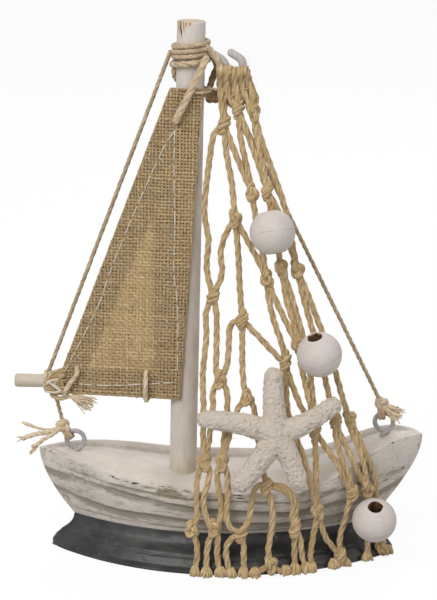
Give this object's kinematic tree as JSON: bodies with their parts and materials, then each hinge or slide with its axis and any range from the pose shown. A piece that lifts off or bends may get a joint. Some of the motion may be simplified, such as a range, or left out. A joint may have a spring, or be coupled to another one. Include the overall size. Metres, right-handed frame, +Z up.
{
  "type": "decorative model sailing dinghy",
  "caption": "Small wooden model of a sailing dinghy on its own base, with a mast, boom, burlap sail, stays on screw eyes, and a knotted cord net carrying beads and a starfish.",
  "frame": {"origin": "on the underside of the base, midway along and across it but for 2 mm", "axes": "+X to the bow, +Y to port, away from the side that carries the net, +Z up along the mast"},
  "size_m": [0.1879, 0.0738, 0.2452],
  "materials": {
    "hull_paint": "white distressed paint over wood",
    "base_paint": "dark slate paint over wood",
    "mast_paint": "white paint over a dowel",
    "boom_paint": "white paint over a dowel",
    "burlap": "coarse woven burlap",
    "cord": "twisted natural cord",
    "stay_cord": "thin twisted cord",
    "net_cord": "twisted natural cord",
    "bead_paint": "matte white bead with bare wood in the hole",
    "star": "off-white rough cast starfish",
    "eye_paint": "grey-white painted screw eye",
    "hook_paint": "white painted hook"
  },
  "bodies": {
    "root": {"base": "base_paint", "hull": "hull_paint", "mast": "mast_paint", "boom": "boom_paint", "sail": "burlap", "mast_lashing": "cord", "boom_tie": "stay_cord", "lashing_tail": "cord", "foot_loop_fore": "cord", "foot_loop_aft": "cord", "head_tie": "cord", "stern_eye": "eye_paint", "bow_eye": "eye_paint", "backstay": "stay_cord", "backstay_end": "stay_cord", "forestay": "stay_cord", "masthead_hook": "hook_paint", "net": "net_cord", "bead_upper": "bead_paint", "bead_middle": "bead_paint", "bead_lower": "bead_paint", "starfish": "star"}
  },
  "joints": []
}
